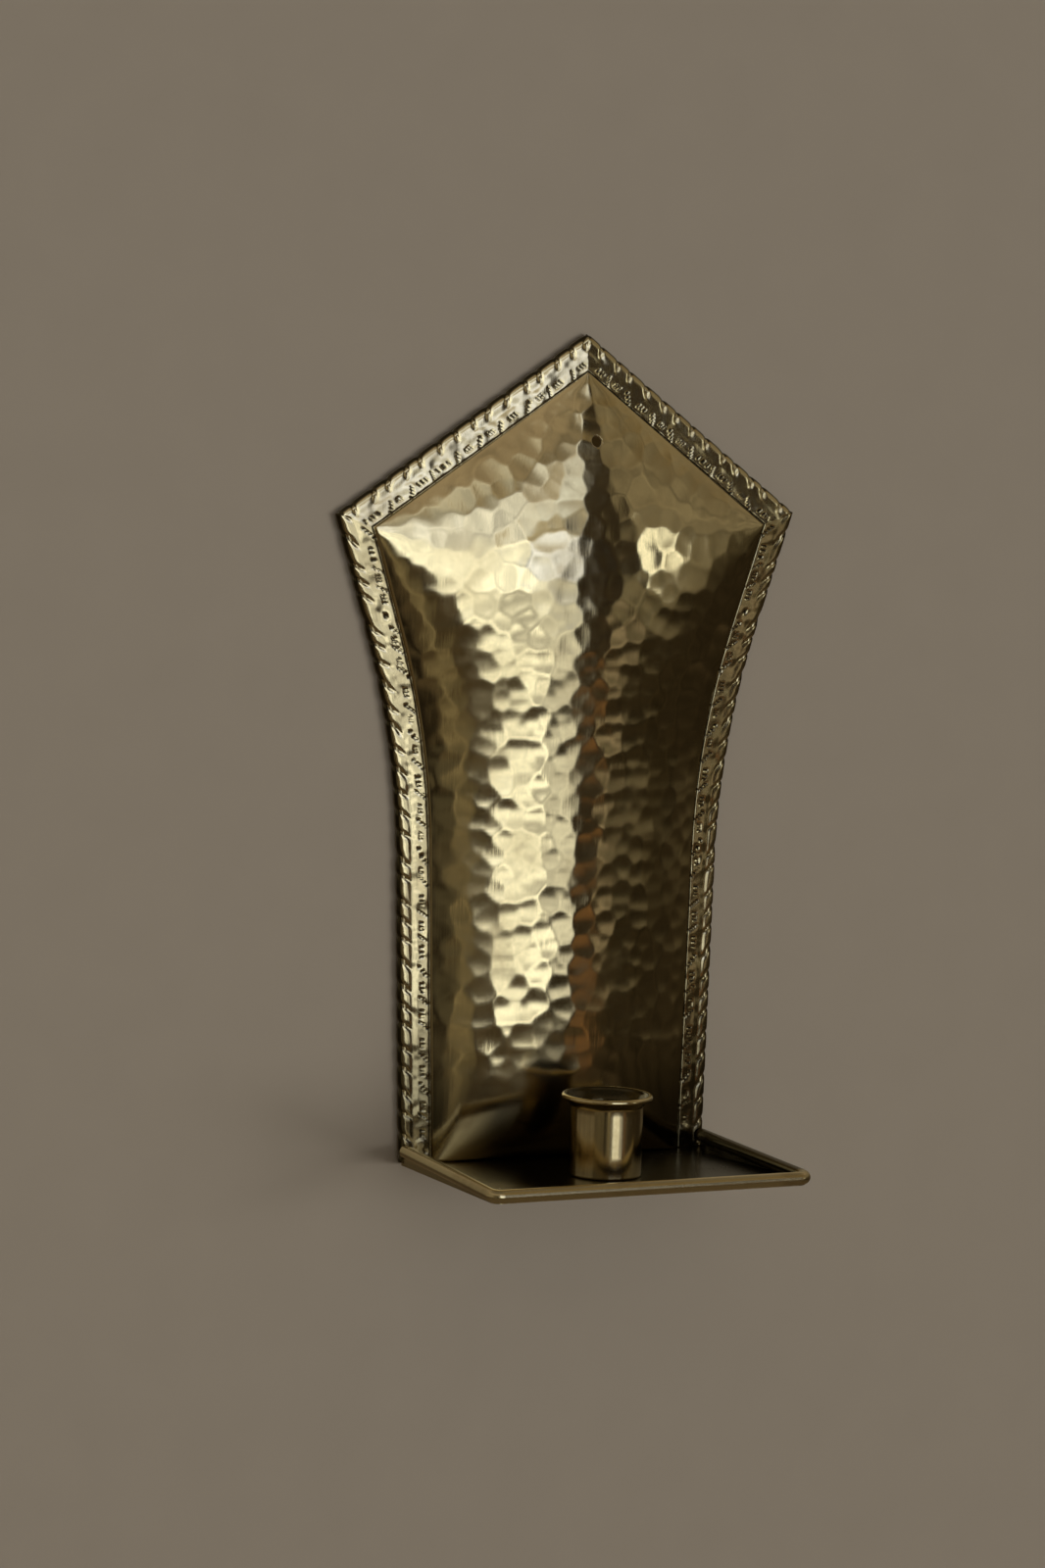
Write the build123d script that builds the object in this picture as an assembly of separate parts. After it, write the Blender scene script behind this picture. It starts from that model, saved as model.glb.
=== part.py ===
from build123d import *
import math
import os

# Wall sconce for one candle, in hammered sheet brass.
#
# The sconce is laid out from the wall: X to the right, Y into the wall with the wall itself at
# y = 0, and Z up from the underside of the tray. Each finished piece is then moved so that the
# centre of the hanging hole is the origin. All sizes are in millimetres.

# Backplate outline, seen from the front. The plate is hand cut, so its two sides differ a little.
APEX = (3.3, 281.2)
RIGHT_SHOULDER = (85.3, 220.6)
RIGHT_WAIST = (60.2, 142.0)
RIGHT_FOOT = (58.4, -10.0)
LEFT_SHOULDER = (-87.9, 220.6)
LEFT_WAIST = (-63.2, 143.0)
LEFT_FOOT = (-57.0, -10.0)
WAIST_RADIUS = 275.0
BORDER_WIDTH = 10.8

# Sheet and rolled edge of the backplate. The edge is rolled backward round a wire, so the border
# runs on smoothly over it in front, and the back of the roll is dressed flat against the wall.
# ROLL_JOIN is how far in from the edge the flat of the border meets the roll.
PLATE_SHEET = 0.9
BORDER_BACK_Y = -2.8
EDGE_ROLL_R = 2.0
EDGE_ROLL_Y = -1.9
EDGE_WIRE_R = 1.1
ROLL_JOIN = 2.8

# Raised panel of the backplate. It steps up from the border, then swells towards the room.
# PANEL_FOOT_Z is where the swelling would start if the panel ran on below the tray.
PANEL_STEP = 0.45
PANEL_SLOPE = 0.56
PANEL_SWELL = 40.0
PANEL_FOOT_Z = -2.0
PANEL_FOOT_STEEP = 1.7
WAIST_EASE = 5.4
PANEL_GRID = 5.0

# Hanging hole, punched square to the sloping top of the panel.
HOLE_X = 3.7
HOLE_Z = 245.2
HOLE_R = 2.0

# Tray.
TRAY_SHEET = 1.0
TRAY_BACK_LEFT = 56.2
TRAY_BACK_RIGHT = 57.2
TRAY_FRONT_LEFT = 57.2
TRAY_FRONT_RIGHT = 60.0
TRAY_BACK_Y = -4.0
TRAY_FRONT_Y = -73.9
RIM_ROLL_R = 2.3
RIM_WIRE_R = 1.3
RIM_BACK_Z = 5.0
RIM_FRONT_Z = 2.4
LEFT_CORNER_R = 2.5
RIGHT_CORNER_R = 3.4
FLANGE_HALF = 52.0
FLANGE_HEIGHT = 12.0
FLANGE_BACK_Y = BORDER_BACK_Y + TRAY_SHEET

# Candle cup.
CUP_Y = -41.5
CUP_OUTER_R = 12.3
CUP_INNER_R = 11.2
CUP_FLOOR = 1.0
CUP_TOP = 28.6
CUP_RIM_R = 15.4
CUP_BEAD_R = 0.95
CUP_FLARE = 4.4

# Rivets. Both kinds are hammered flush on the side that shows.
TRAY_RIVET_X = 50.4
TRAY_RIVET_Z = 7.0
TRAY_RIVET_R = 1.4
CUP_RIVET_R = 1.6
BURR_R = 3.6
BURR_THICKNESS = 0.8
RIVET_TAIL = 1.1
RIVET_TAIL_R = 2.5

OUTLINE = [LEFT_FOOT, LEFT_WAIST, LEFT_SHOULDER, APEX, RIGHT_SHOULDER, RIGHT_WAIST, RIGHT_FOOT]
BORDER_FRONT_Y = BORDER_BACK_Y - PLATE_SHEET
CUP_AXIS = (0, CUP_Y, 0)
FAR = 400.0


def inward(start, end):
    """Return the unit normal on the right of the line from start to end."""
    dx = end[0] - start[0]
    dz = end[1] - start[1]
    length = math.hypot(dx, dz)
    return (dz / length, -dx / length)


def inset_points(inset):
    """Return the corners of the outline after its edges have all moved inward by inset."""
    normals = [inward(a, b) for a, b in zip(OUTLINE, OUTLINE[1:])]
    before = [normals[0], *normals]
    after = [*normals, normals[-1]]
    moved = []
    for (x, z), (ax, az), (bx, bz) in zip(OUTLINE, before, after):
        scale = inset / (1 + ax * bx + az * bz)
        moved.append((x + scale * (ax + bx), z + scale * (az + bz)))
    return moved


def outline_wire(inset, y):
    """Return the outline, moved inward by inset, as an open wire at depth y."""
    path = FilletPolyline(*inset_points(inset), radius=[WAIST_RADIUS, 0, 0, 0, WAIST_RADIUS])
    return Plane.XZ.offset(-y) * path.wire()


def outline_slab(inset, y_back, y_front):
    """Return the region inside the outline as a flat slab between two depths."""
    wire = outline_wire(inset, y_back)
    face = Face(Wire([*wire.edges(), Edge.make_line(wire @ 1, wire @ 0)]))
    return extrude(face, amount=y_back - y_front, dir=(0, -1, 0))


def below_plate():
    """Return the space under the backplate, which stands on the tray's floor."""
    return Pos(0, 0, TRAY_SHEET - FAR / 2) * Box(FAR, FAR, FAR)


def round_bar(path, radius):
    """Return a round bar of the given radius along a path, with square mitres."""
    start = Plane(origin=path @ 0, z_dir=path % 0)
    return sweep(start * Circle(radius), path=path, transition=Transition.RIGHT)


def both(a, b):
    """Join two inward distances smoothly: positive only where both of them are."""
    return a + b - math.hypot(a, b)


def swell(distance):
    """Make an inward distance grow faster than the distance itself, away from its edge."""
    return distance * (1 + max(distance, 0) / PANEL_SWELL)


def line_distance(point, start, end):
    """Return how far point lies inward of the line from start to end."""
    nx, nz = inward(start, end)
    return (point[0] - start[0]) * nx + (point[1] - start[1]) * nz


def side_x(foot, waist, shoulder, z, outward):
    """Return where one side of the panel lies at height z, with its waist eased to a curve."""
    lower = foot[0] + (waist[0] - foot[0]) * (z - foot[1]) / (waist[1] - foot[1])
    upper = waist[0] + (shoulder[0] - waist[0]) * (z - waist[1]) / (shoulder[1] - waist[1])
    return (lower + upper + outward * math.hypot(lower - upper, WAIST_EASE)) / 2


def panel_rise(x, z):
    """Return how far the panel has swelled towards the room at a place on the plate."""
    foot_l, waist_l, shoulder_l, apex, shoulder_r, waist_r, foot_r = inset_points(BORDER_WIDTH)
    left = side_x(foot_l, waist_l, shoulder_l, z, -1)
    right = side_x(foot_r, waist_r, shoulder_r, z, 1)
    sides = (x - left) * (right - x) / (right - left)
    left_slope = line_distance((x, z), shoulder_l, apex)
    right_slope = line_distance((x, z), apex, shoulder_r)
    gable = both(left_slope, right_slope)
    ends = both(swell(gable), swell(z - PANEL_FOOT_Z) * PANEL_FOOT_STEEP)
    return PANEL_SLOPE * both(sides, ends)


def panel_y(x, z):
    """Return the depth of the panel's front at a place on the plate."""
    return BORDER_FRONT_Y - PANEL_STEP - panel_rise(x, z)


def panel_shell():
    """Return the raised panel: a curved sheet, cut to the line inside the border."""
    low_x = LEFT_SHOULDER[0]
    columns = math.ceil((RIGHT_SHOULDER[0] - low_x) / PANEL_GRID) + 1
    low_z = TRAY_SHEET - PANEL_GRID
    rows = math.ceil((APEX[1] - low_z) / PANEL_GRID) + 1
    points = []
    for i in range(columns):
        x = low_x + i * PANEL_GRID
        heights = [low_z + j * PANEL_GRID for j in range(rows)]
        points.append([(x, panel_y(x, z), z) for z in heights])
    front = Face.make_surface_from_array_of_points(points, tol=0.02)
    sheet = Solid.extrude(front, Vector(0, PLATE_SHEET, 0))
    return outline_slab(BORDER_WIDTH, 0, -FAR / 4) & sheet


def hole_direction():
    """Return the direction out of the hanging hole, square to the panel at the hole."""
    reach = HOLE_R
    slope_x = panel_y(HOLE_X + reach, HOLE_Z) - panel_y(HOLE_X - reach, HOLE_Z)
    slope_z = panel_y(HOLE_X, HOLE_Z + reach) - panel_y(HOLE_X, HOLE_Z - reach)
    return Vector(slope_x, -2 * reach, slope_z).normalized()


def hole_centre():
    """Return the middle of the hanging hole, halfway through the sheet."""
    return Vector(HOLE_X, panel_y(HOLE_X, HOLE_Z) + PLATE_SHEET / 2, HOLE_Z)


def tray_rivet_places():
    """Return where the two tray rivets go through the border, on the wall plane."""
    return [Vector(side * TRAY_RIVET_X, 0, TRAY_RIVET_Z) for side in (-1, 1)]


def make_backplate():
    """Flat border, raised panel and an edge rolled round a wire, all one sheet."""
    path = outline_wire(EDGE_ROLL_R, EDGE_ROLL_Y)
    wall = Pos(0, FAR / 2, 0) * Box(FAR, FAR, 2 * FAR)
    roll = round_bar(path, EDGE_ROLL_R) - round_bar(path, EDGE_WIRE_R) - wall
    border = outline_slab(ROLL_JOIN, BORDER_BACK_Y, BORDER_FRONT_Y)
    border -= outline_slab(BORDER_WIDTH, FAR, -FAR)
    plate = border + roll + panel_shell() - below_plate()
    hole = Plane(origin=hole_centre(), z_dir=hole_direction()) * Cylinder(HOLE_R, 6 * PLATE_SHEET)
    plate -= hole
    for place in tray_rivet_places():
        plate -= Plane(origin=place, z_dir=(0, -1, 0)) * Cylinder(TRAY_RIVET_R, FAR / 40)
    return plate


def make_edge_wire():
    """Wire inside the backplate's rolled edge."""
    return round_bar(outline_wire(EDGE_ROLL_R, EDGE_ROLL_Y), EDGE_WIRE_R) - below_plate()


def rim_path():
    """Return the middle of the tray's rolled rim, which rises towards the wall."""
    tilt = Plane(
        origin=(0, TRAY_FRONT_Y, RIM_FRONT_Z),
        x_dir=(1, 0, 0),
        z_dir=(0, RIM_FRONT_Z - RIM_BACK_Z, TRAY_BACK_Y - TRAY_FRONT_Y),
    )
    length = math.hypot(TRAY_BACK_Y - TRAY_FRONT_Y, RIM_BACK_Z - RIM_FRONT_Z)
    points = [
        (-TRAY_BACK_LEFT, length),
        (-TRAY_FRONT_LEFT, 0),
        (TRAY_FRONT_RIGHT, 0),
        (TRAY_BACK_RIGHT, length),
    ]
    return tilt * FilletPolyline(*points, radius=[LEFT_CORNER_R, RIGHT_CORNER_R]).wire()


def tray_outline(grow, back_y):
    """Return the plan of the tray, grown outward from the middle of its wall."""
    front = TRAY_FRONT_Y - grow
    run = (back_y - front) / (TRAY_BACK_Y - TRAY_FRONT_Y)
    front_left = -TRAY_FRONT_LEFT - grow
    front_right = TRAY_FRONT_RIGHT + grow
    back_left = front_left + (TRAY_FRONT_LEFT - TRAY_BACK_LEFT) * run
    back_right = front_right - (TRAY_FRONT_RIGHT - TRAY_BACK_RIGHT) * run
    corners = [(back_left, back_y), (front_left, front), (front_right, front), (back_right, back_y)]
    radii = [LEFT_CORNER_R + grow, RIGHT_CORNER_R + grow]
    edge = FilletPolyline(*corners, radius=radii).wire()
    return Face(Wire([*edge.edges(), Edge.make_line(edge @ 1, edge @ 0)]))


def under_rim():
    """Return the space below the middle of the rim, which slopes down to the front."""
    run = TRAY_BACK_Y - TRAY_FRONT_Y
    drop = RIM_BACK_Z - RIM_FRONT_Z
    top = (RIM_ROLL_R + RIM_WIRE_R) / 2
    back = (TRAY_BACK_Y, RIM_BACK_Z - top)
    front = (TRAY_BACK_Y - 2 * run, RIM_BACK_Z - top - 2 * drop)
    side = Plane.YZ * make_face(Polyline(back, front, (front[0], -FAR), (back[0], -FAR), close=True))
    return extrude(side, amount=FAR / 2, both=True)


def make_tray():
    """Shallow pan with a rolled rim on three sides and a flange up behind the backplate."""
    half = TRAY_SHEET / 2
    floor = extrude(tray_outline(half, FLANGE_BACK_Y), amount=TRAY_SHEET)
    wall = extrude(tray_outline(half, TRAY_BACK_Y), amount=RIM_BACK_Z)
    wall -= extrude(tray_outline(-half, FLANGE_BACK_Y), amount=RIM_BACK_Z)
    path = rim_path()
    behind = Pos(0, TRAY_BACK_Y + FAR / 2, 0) * Box(FAR, FAR, FAR)
    roll = round_bar(path, RIM_ROLL_R) - round_bar(path, RIM_WIRE_R) - behind
    flange_y = FLANGE_BACK_Y - TRAY_SHEET / 2
    flange = Pos(0, flange_y, FLANGE_HEIGHT / 2) * Box(2 * FLANGE_HALF, TRAY_SHEET, FLANGE_HEIGHT)
    tray = floor + (wall & under_rim()) + roll + flange
    for place in tray_rivet_places():
        tray -= Plane(origin=place, z_dir=(0, -1, 0)) * Cylinder(TRAY_RIVET_R, FAR / 40)
    return tray - Pos(CUP_AXIS) * Cylinder(CUP_RIVET_R, FAR / 40)


def make_rim_wire():
    """Wire inside the tray's rolled rim."""
    behind = Pos(0, TRAY_BACK_Y + FAR / 2, 0) * Box(FAR, FAR, FAR)
    return round_bar(rim_path(), RIM_WIRE_R) - behind


def make_candle_cup():
    """Straight cup with a flared lip that ends in a small bead."""
    base = TRAY_SHEET
    wall = CUP_OUTER_R - CUP_INNER_R
    bead_r = CUP_RIM_R - CUP_BEAD_R
    bead_z = CUP_TOP - CUP_BEAD_R
    flare_z = CUP_TOP - CUP_FLARE
    profile = Polyline(
        (0, base),
        (CUP_OUTER_R, base),
        (CUP_OUTER_R, flare_z),
        (bead_r + wall / 3, bead_z),
        (bead_r - wall / 2, bead_z),
        (CUP_INNER_R, flare_z),
        (CUP_INNER_R, base + CUP_FLOOR),
        (0, base + CUP_FLOOR),
        close=True,
    )
    body = revolve(Plane.XZ * make_face(profile), axis=Axis.Z)
    bead = Pos(0, 0, bead_z) * Torus(bead_r, CUP_BEAD_R)
    cup = body + bead - Cylinder(CUP_RIVET_R, FAR / 40)
    return Pos(CUP_AXIS) * cup


def make_cup_rivet():
    """Rivet through the cup and the tray, flush inside the cup and peened over below."""
    top = TRAY_SHEET + CUP_FLOOR
    tail_top = -BURR_THICKNESS
    shank = Pos(0, 0, (top + tail_top) / 2) * Cylinder(CUP_RIVET_R, top - tail_top)
    tail = Pos(0, 0, tail_top - RIVET_TAIL / 2) * Cone(RIVET_TAIL_R / 2, RIVET_TAIL_R, RIVET_TAIL)
    return Pos(CUP_AXIS) * (shank + tail)


def make_cup_rivet_burr():
    """Flat washer under the tray that the cup's rivet is peened over."""
    washer = Cylinder(BURR_R, BURR_THICKNESS) - Cylinder(CUP_RIVET_R, BURR_THICKNESS)
    return Pos(CUP_AXIS) * Pos(0, 0, -BURR_THICKNESS / 2) * washer


def make_tray_rivets():
    """Two rivets that hold the backplate's border to the tray's flange."""
    length = FLANGE_BACK_Y - BORDER_FRONT_Y
    rivets = []
    for place in tray_rivet_places():
        middle = place + Vector(0, FLANGE_BACK_Y - length / 2, 0)
        rivets.append(Plane(origin=middle, z_dir=(0, -1, 0)) * Cylinder(TRAY_RIVET_R, length))
    return Compound(children=rivets)


def main():
    os.makedirs("parts", exist_ok=True)
    pieces = {
        "backplate": make_backplate(),
        "backplate_edge_wire": make_edge_wire(),
        "tray": make_tray(),
        "tray_rim_wire": make_rim_wire(),
        "candle_cup": make_candle_cup(),
        "cup_rivet": make_cup_rivet(),
        "cup_rivet_burr": make_cup_rivet_burr(),
        "tray_rivets": make_tray_rivets(),
    }
    to_frame = Pos(-hole_centre())
    for name, piece in pieces.items():
        export_step(to_frame * piece, f"parts/{name}.step")
    print("hanging hole from the wall, mm:", -hole_centre().Y, "direction:", hole_direction())


if __name__ == "__main__":
    main()
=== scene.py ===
import math

import bmesh
import bpy
import numpy as np
from bpy.props import FloatProperty, FloatVectorProperty, PointerProperty
from mathutils import Matrix, Vector


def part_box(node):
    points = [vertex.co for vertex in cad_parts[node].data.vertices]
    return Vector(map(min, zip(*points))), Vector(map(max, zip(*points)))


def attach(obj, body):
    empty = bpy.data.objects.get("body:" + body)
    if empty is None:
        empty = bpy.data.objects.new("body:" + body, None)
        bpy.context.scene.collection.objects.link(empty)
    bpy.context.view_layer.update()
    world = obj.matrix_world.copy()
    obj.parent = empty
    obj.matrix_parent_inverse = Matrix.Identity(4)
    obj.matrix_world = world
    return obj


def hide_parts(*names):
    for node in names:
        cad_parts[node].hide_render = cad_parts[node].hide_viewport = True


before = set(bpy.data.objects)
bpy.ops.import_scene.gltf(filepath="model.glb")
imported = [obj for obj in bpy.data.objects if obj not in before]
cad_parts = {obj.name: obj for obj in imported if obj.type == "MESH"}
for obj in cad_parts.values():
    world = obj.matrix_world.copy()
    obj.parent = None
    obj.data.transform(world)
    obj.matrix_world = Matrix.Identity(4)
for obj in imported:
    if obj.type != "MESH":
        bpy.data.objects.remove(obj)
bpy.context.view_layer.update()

bl_info = {
    "name": "Hammered Brass Sconce",
    "version": (1, 0, 0),
    "blender": (4, 5, 0),
    "location": "3D View > Sidebar > Sconce",
    "description": "Builds the visible pieces of a hammered brass wall sconce round its frame",
    "category": "Object",
}

# The frame gives the places: the cup's axis, the wall and the underside of the tray.
CUP_LOW, CUP_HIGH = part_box("candle_cup")
TRAY_LOW, TRAY_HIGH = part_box("tray")
AXIS_X = (CUP_LOW[0] + CUP_HIGH[0]) / 2
CUP_Y = (CUP_LOW[1] + CUP_HIGH[1]) / 2
WALL_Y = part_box("backplate")[1][1]
BASE_Z = TRAY_LOW[2]

# Outline of the backplate in metres, across from the cup's axis and up from the tray's underside.
LEFT_FOOT = (-0.0570, -0.0100)
LEFT_WAIST = (-0.0632, 0.1430)
LEFT_SHOULDER = (-0.0879, 0.2206)
APEX = (0.0033, 0.2812)
RIGHT_SHOULDER = (0.0853, 0.2206)
RIGHT_WAIST = (0.0602, 0.1420)
RIGHT_FOOT = (0.0584, -0.0100)
OUTLINE = [LEFT_FOOT, LEFT_WAIST, LEFT_SHOULDER, APEX, RIGHT_SHOULDER, RIGHT_WAIST, RIGHT_FOOT]
WAIST_RADIUS = 0.275
PLATE_BASE_Z = 0.0010
HOLE = (0.0037, 0.2452)
HOLE_RADIUS = 0.0020
PUNCH_LENGTH = 0.008

# The border's band lies off the wall, and falls back from the chased line towards its edge.
BORDER_BACK = 0.0028
BAND_RISE = 0.00027
BAND_START = 0.0100
BAND_FALL = 0.085
BAND_INSETS = (0.0097, 0.0028, -0.00035)
# Inset where the roll's cuts start and where the front's work ends, each with its blend.
ROLL_BLEND = (0.0046, 0.0024)
FRONT_BLEND = (0.0012, 0.0040)
# The chased line round the panel: inset, rise off the sheet and share of the front.
CHASED_LINE = [
    (0.01062, 0.00020, 0.6),
    (0.01045, 0.00006, 1.0),
    (0.01028, 0.00024, 1.0),
    (0.01005, BAND_RISE, 1.0),
]
# Where the band turns over into the roll: inset and drop below the band.
EDGE_TURN = [
    (0.0024, 0.00002),
    (0.0020, 0.00004),
    (0.0016, 0.00010),
    (0.0012, 0.00021),
    (0.0009, 0.00034),
    (0.0006, 0.00053),
    (0.0003, 0.00083),
]
EDGE_TURN_FRONT = 0.1
# The roll's section runs between two angles, in degrees, and its cuts fade out by the wall.
ROLL_DEPTH = 0.0013
ROLL_ARC = (168, 340)
ROLL_STEPS = 18
CUT_END = math.radians(290)
CUT_FADE = 1.2
# The flat back of the border: inset and drop behind the sheet.
FLAT_BACK = [(0.0042, 0.0004), (0.0075, 0.0001)]
# A shallow trough runs up the border, and fades between two heights.
GROOVE_INSET = 0.0046
GROOVE_WIDTH = 0.0009
GROOVE_DEPTH = 0.00016
GROOVE_TOP = 0.150
GROOVE_FADE = 0.050
GROOVE_LEAST = 0.15
# Flush rivets at the foot of the border, and the smooth sheet over them.
RIVETS = [(-0.0504, 0.0070), (0.0504, 0.0070)]
RIVET_REACH = 0.0021
RIVET_RISE = 0.00014

# How the panel swells from the border.
PANEL_STEP = 0.00045
PANEL_SWELL = 0.040
PANEL_FOOT_Z = -0.0020
FOOT_STEEP = 1.7
WAIST_EASE = 0.0054
# The hammer work starts this far in from the border and this far up from the tray.
WORKED_EDGE = 0.004
WORKED_FOOT = 0.022
WORKED_FADE = 0.020

# Punched lines of the border, three in a row and four in steps: place along, inset, half length.
LINES = (-0.0013, 0.0, 0.0013)
LINE_INSET = 0.0080
LINE_HALF = 0.00085
STAIRS = [(0.0013 - 0.0009 * i, 0.0072 + 0.00095 * i) for i in range(4)]
STAIR_HALF = 0.00065
LINE_WIDTH = 0.00021
LINE_SOFT = 0.00026
LINE_END_SOFT = 0.0004
# How far the hand drifts along the edge, for the punch and for the cuts.
PUNCH_DRIFT = 0.009
CUT_DRIFT = 0.007
CUT_LEAN = 0.8
CUT_SHARPNESS = 5.0
# Uneven front of the border: mostly sunk a little below the section.
WAVE_MIDDLE = 0.62
WAVE_HEIGHT = 0.00055

# The cup's corners and floor.
CUP_HOLE = 0.0016
CUP_EDGE = 0.0004
CUP_FLOOR = 0.0010
CUP_CORNER = 0.0005
LIP_TUCK = 0.0002
FLARE_SPREAD = 0.66

# How finely the backplate's meshes are divided.
EDGE_STEPS = 440
PANEL_ROWS = (200, 84)
PANEL_COLUMNS = 144
MERGE = 1e-7

# Light round the sconce by height, in degrees above level: floor, room and ceiling.
ROOM = [
    (-90, (0.080, 0.060, 0.038)),
    (-32, (0.085, 0.062, 0.036)),
    (-17, (0.050, 0.036, 0.021)),
    (-9, (0.050, 0.038, 0.024)),
    (-4, (0.15, 0.13, 0.09)),
    (26, (0.20, 0.17, 0.12)),
    (40, (0.28, 0.23, 0.17)),
    (62, (0.13, 0.11, 0.08)),
    (90, (0.10, 0.085, 0.06)),
]
# Softboxes and flags over it: turn and rise of the middle, half sizes, softness, light.
PATCHES = [
    (-100, 7, 48, 17, 5, (0.20, 0.17, 0.12)),
    (-46, 0, 20, 22, 7, (0.085, 0.070, 0.045)),
    (-30, 0, 4, 22, 3, (0.014, 0.010, 0.006)),
    (-18, -2, 4, 18, 3, (0.17, 0.14, 0.085)),
    (-26, -9, 4, 4, 4, (0.07, 0.06, 0.04)),
    (92, -3, 33, 10, 5, (0.060, 0.048, 0.030)),
    (60, -11.5, 45, 4, 3, (0.022, 0.016, 0.009)),
    (50, 42, 22, 16, 8, (0.16, 0.12, 0.065)),
    (7, 10.5, 19, 16, 3, (0.80, 0.84, 0.94)),
    (-7, 11, 6.5, 15.5, 3, (1.10, 1.18, 1.40)),
    (1, 1, 14, 8, 4, (1.35, 1.42, 1.48)),
    (-4, 31, 5, 6, 6, (0.60, 0.60, 0.58)),
    (12, -6.5, 15, 3.5, 2.5, (0.82, 0.84, 0.84)),
    (4, -9.5, 10, 2, 2, (1.30, 1.35, 1.35)),
    (18, 4.5, 6, 3, 3, (0.95, 1.05, 1.40)),
    (20, 18, 5, 3, 3, (0.90, 0.98, 1.15)),
    (17, 11, 7, 3, 3, (0.42, 0.38, 0.30)),
    (15, 23, 4, 3, 3, (0.40, 0.36, 0.30)),
    (30, 6, 5.5, 20, 3, (0.026, 0.019, 0.012)),
    (36, 3, 8, 3.5, 2, (0.026, 0.019, 0.012)),
    (38, -6.9, 4, 1.6, 1.5, (0.24, 0.20, 0.145)),
    (31, -12, 4, 2.5, 3, (0.14, 0.075, 0.035)),
    (46, 3.5, 3.5, 4.5, 2, (1.20, 1.22, 1.15)),
]

# Scale and detail of what is uneven: the hand along the edge, the two sheets and the metal.
HAND_NOISE = (75.0, 1.0)
SHEET_NOISE = (55.0, 1.5)
BORDER_NOISE = (150.0, 1.0)
TARNISH_NOISE = (38.0, 5.0)
GRAIN_NOISE = (900.0, 3.0)
SCRATCH_NOISE = (1.0, 2.0)
SCRATCH_STRETCH = (1400.0, 1400.0, 90.0)
SCRATCH_LEAN = (0.0, 0.25, 0.0)
SCRATCH_STRENGTH = 0.04
SCRATCH_DEPTH = 0.0002
# How much the grain and the tarnish add to the roughness of the brass.
GRAIN_ROUGH = 0.06
CLOUD_ROUGH = 0.08
# Border marks: strength of the dirt in the punched lines; painted shade on the cut edge's outer flank,
# deeper at the notches: its strength and reach.
LINE_DIRT = 0.92
EDGE_FLANK_SHADE = 0.93
EDGE_FLANK_SHADE_REACH = (0.0024, 0.0008)
CHASED_DIRT = (0.0104, 0.00022, 0.0003)
# Painted shade on the foot of the backplate by the tray: heights above the tray's underside where it
# thins and ends, and strength.
PANEL_FOOT_SHADE = (0.012, 0.044)
BORDER_FOOT_SHADE = (0.012, 0.080)
FOOT_SHADE_STRENGTH = 0.74
BORDER_FOOT_SHADE_SHARE = 0.95
# Painted shade in the tray: strength on the floor, how much less at the left where it stands for a
# lighter painted reflection, and on the right wall.
FLOOR_SHADE = 0.95
LEFT_FLOOR_LIFT = -0.80
RIGHT_WALL_SHADE = 0.90
# Where it ends, from the underside, the left, the front and the flared right wall.
FLOOR_SHADE_TOP = (0.0013, 0.0026)
LEFT_LIFT_REACH = (0.012, 0.040)
FLOOR_SHADE_FRONT = (0.0022, 0.0045)
RIGHT_WALL_SHADE_REACH = (-0.0052, -0.0044)
RIGHT_WALL_SHADE_FRONT = (0.0035, 0.0080)
TRAY_FLARE = 0.04
# Painted shade inside the cup: its strength.
CUP_SHADE = 0.95

# Cloudiness of the room: scale and detail of its clouds, and how they change its light.
CLOUD_NOISE = (13.0, 2.0)
CLOUD_GAIN = 2.2
CLOUD_BASE = -0.1
SEEN_LIGHT = (0.62, 0.60, 0.57, 1)

# Soft lamp for the wall alone: degrees to the right, degrees up, width in degrees and strength.
WALL_LAMP = (42, -4, 30, 1.25)
# Where the view stands, from the cup's axis, the wall and the underside of the tray.
VIEW_SPOT = (-0.9116, -1.7619, 0.3611)
# How far the floor and the wall reach, and where they lie.
STAGE_REACH = 3.0
WALL_GAP = 0.0002
FLOOR_DROP = 0.45


class PlateSettings(bpy.types.PropertyGroup):
    """Sizes of the backplate's sheet, border and hammer work."""

    sheet: FloatProperty(
        name="Sheet", description="Thickness of the brass sheet", default=0.0009, unit="LENGTH"
    )
    border: FloatProperty(
        name="Border", description="Width of the border", default=0.0108, unit="LENGTH"
    )
    roll: FloatProperty(
        name="Edge roll", description="Radius of the rolled edge", default=0.0020, unit="LENGTH"
    )
    slope: FloatProperty(
        name="Swell", description="Slope of the raised panel where it leaves the border", default=0.56
    )
    blow: FloatProperty(
        name="Hammer face", description="Size of one hammer mark", default=0.0062, unit="LENGTH"
    )
    blow_depth: FloatProperty(
        name="Hammer depth", description="Depth of one hammer mark", default=0.00008, unit="LENGTH"
    )
    facet: FloatProperty(
        name="Edge facet", description="Pitch of the cuts along the edge", default=0.0073, unit="LENGTH"
    )
    facet_depth: FloatProperty(
        name="Facet depth", description="Depth of the cuts in the edge", default=0.00060, unit="LENGTH"
    )
    punch: FloatProperty(
        name="Punch pitch", description="Pitch of the punched groups", default=0.0100, unit="LENGTH"
    )
    punch_depth: FloatProperty(
        name="Punch depth", description="Depth of a punched line", default=0.00020, unit="LENGTH"
    )


class CupSettings(bpy.types.PropertyGroup):
    """Sizes of the candle cup."""

    outer: FloatProperty(
        name="Outer radius", description="Outside of the cup's wall", default=0.0123, unit="LENGTH"
    )
    inner: FloatProperty(
        name="Inner radius", description="Inside of the cup's wall", default=0.0112, unit="LENGTH"
    )
    bead: FloatProperty(
        name="Bead", description="Radius of the bead on the lip", default=0.00095, unit="LENGTH"
    )
    flare: FloatProperty(
        name="Flare", description="Height over which the lip spreads", default=0.0044, unit="LENGTH"
    )


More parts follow.
